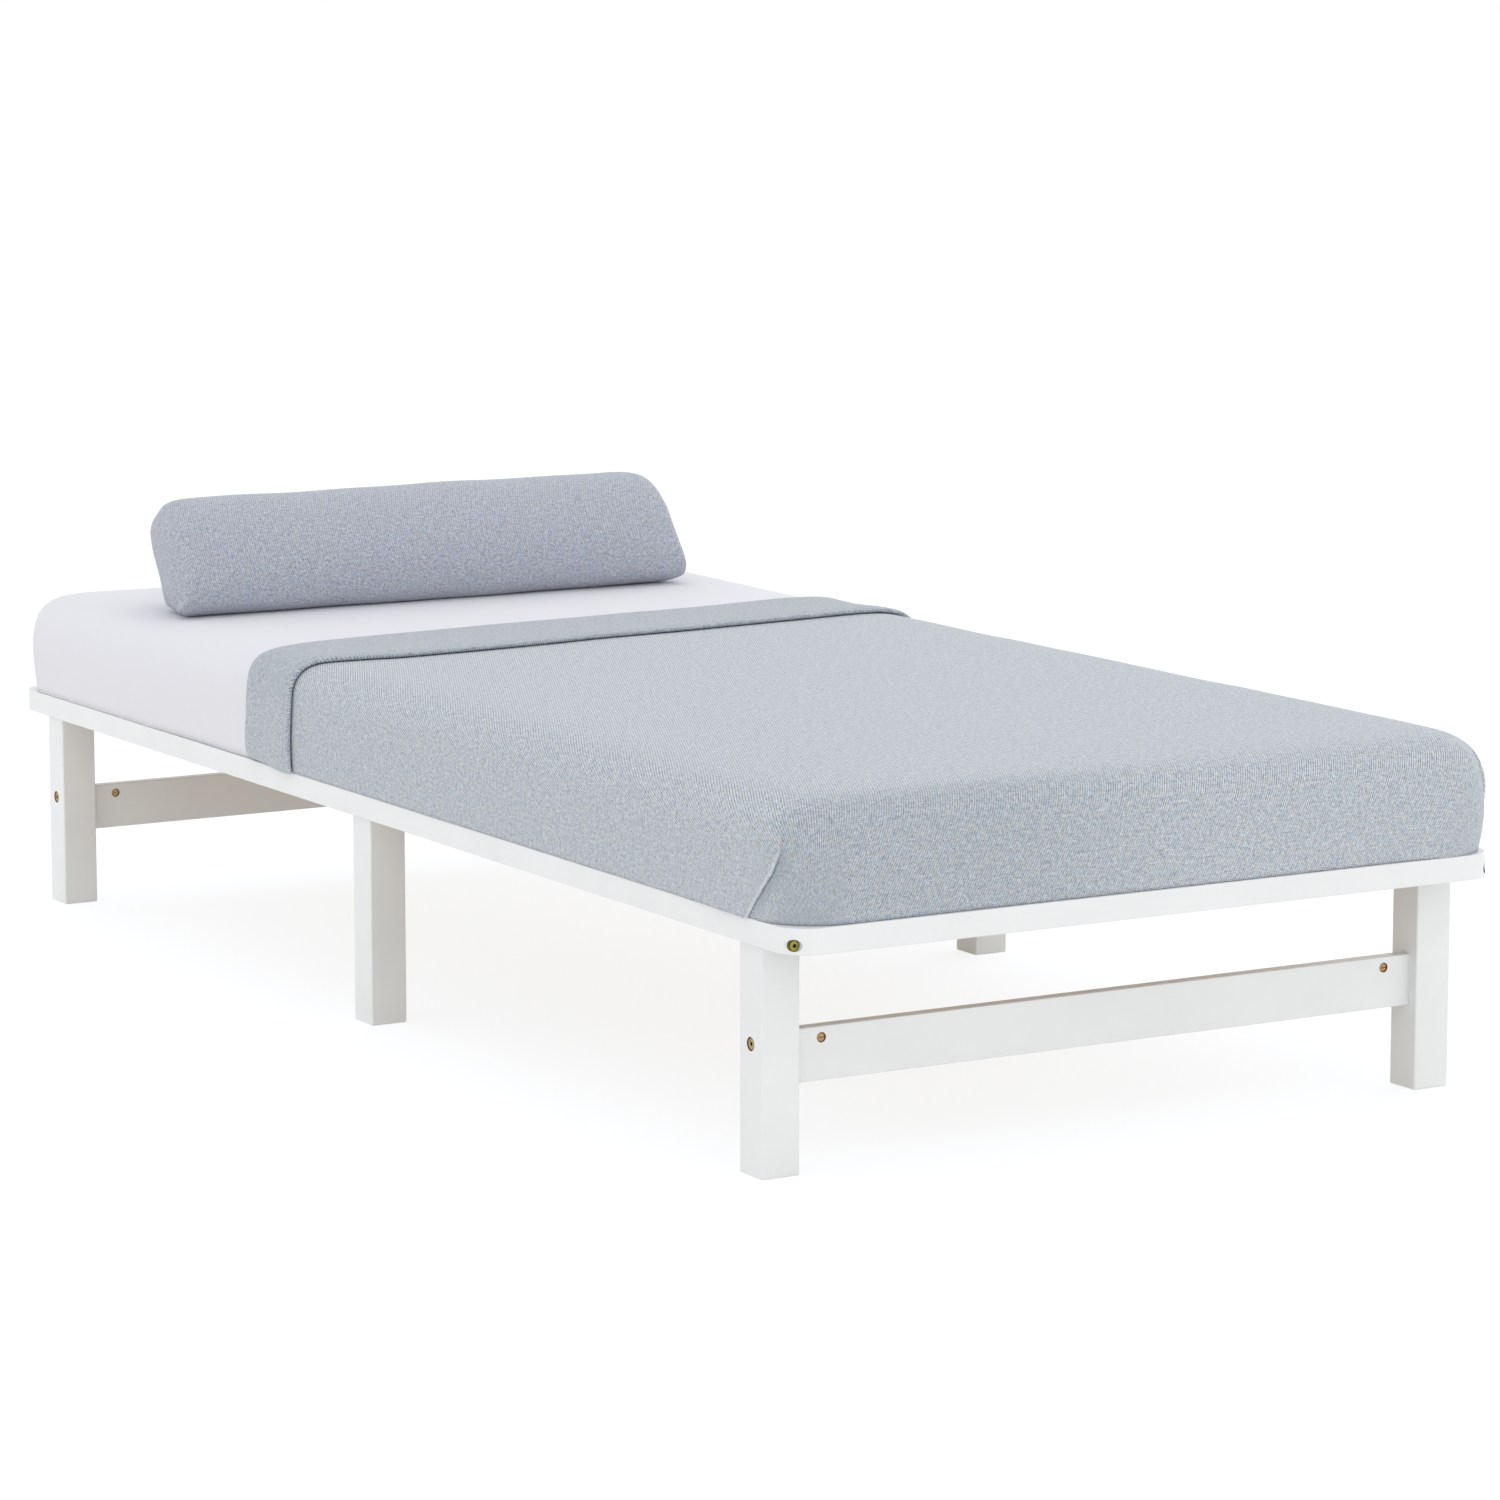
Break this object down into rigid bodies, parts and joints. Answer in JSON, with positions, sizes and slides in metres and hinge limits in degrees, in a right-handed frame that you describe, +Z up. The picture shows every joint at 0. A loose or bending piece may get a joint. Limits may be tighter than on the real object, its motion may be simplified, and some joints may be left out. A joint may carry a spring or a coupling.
{
  "type": "pallet bed",
  "caption": "Low single bed: white wooden frame with rounded rail corners on square legs, dressed with mattress, sheet, turned-back blanket and bolster.",
  "frame": {"origin": "on the floor, under the middle of the bed", "axes": "+Y from the foot end to the head end, +X to the right seen from the foot end, +Z up"},
  "size_m": [0.923, 2, 0.5519],
  "materials": {
    "white_paint": "satin white paint on softwood",
    "plain_wood": "planed, unpainted",
    "dowel_wood": "fluted beech, unpainted",
    "yellow_zinc": "yellow zinc plated steel",
    "bright_zinc": "bright zinc plated steel",
    "mattress_ticking": "woven ticking over foam",
    "white_cotton": "plain cotton, softly creased",
    "blue_wool": "heathered twill",
    "bolster_wool": "heathered twill, tightly filled"
  },
  "bodies": {
    "root": {"side_rail_left": "white_paint", "side_rail_right": "white_paint", "foot_rail": "white_paint", "head_rail": "white_paint", "leg_foot_left": "white_paint", "leg_foot_right": "white_paint", "leg_mid_left": "white_paint", "leg_mid_right": "white_paint", "leg_head_left": "white_paint", "leg_head_right": "white_paint", "foot_stretcher": "white_paint", "head_stretcher": "white_paint", "ledger_left": "plain_wood", "ledger_right": "plain_wood", "mid_cross_rail": "plain_wood", "slat_01": "plain_wood", "slat_02": "plain_wood", "slat_03": "plain_wood", "slat_04": "plain_wood", "slat_05": "plain_wood", "slat_06": "plain_wood", "slat_07": "plain_wood", "slat_08": "plain_wood", "slat_09": "plain_wood", "slat_10": "plain_wood", "slat_11": "plain_wood", "slat_12": "plain_wood", "slat_13": "plain_wood", "stretcher_dowels": "dowel_wood", "mid_rail_dowels": "dowel_wood", "corner_bolts": "yellow_zinc", "corner_barrel_nuts": "yellow_zinc", "stretcher_bolts": "yellow_zinc", "stretcher_barrel_nuts": "yellow_zinc", "leg_screws": "bright_zinc", "ledger_screws": "bright_zinc", "slat_screws": "bright_zinc", "mattress": "mattress_ticking", "fitted_sheet": "white_cotton", "blanket": "blue_wool", "bolster": "bolster_wool"}
  },
  "joints": []
}
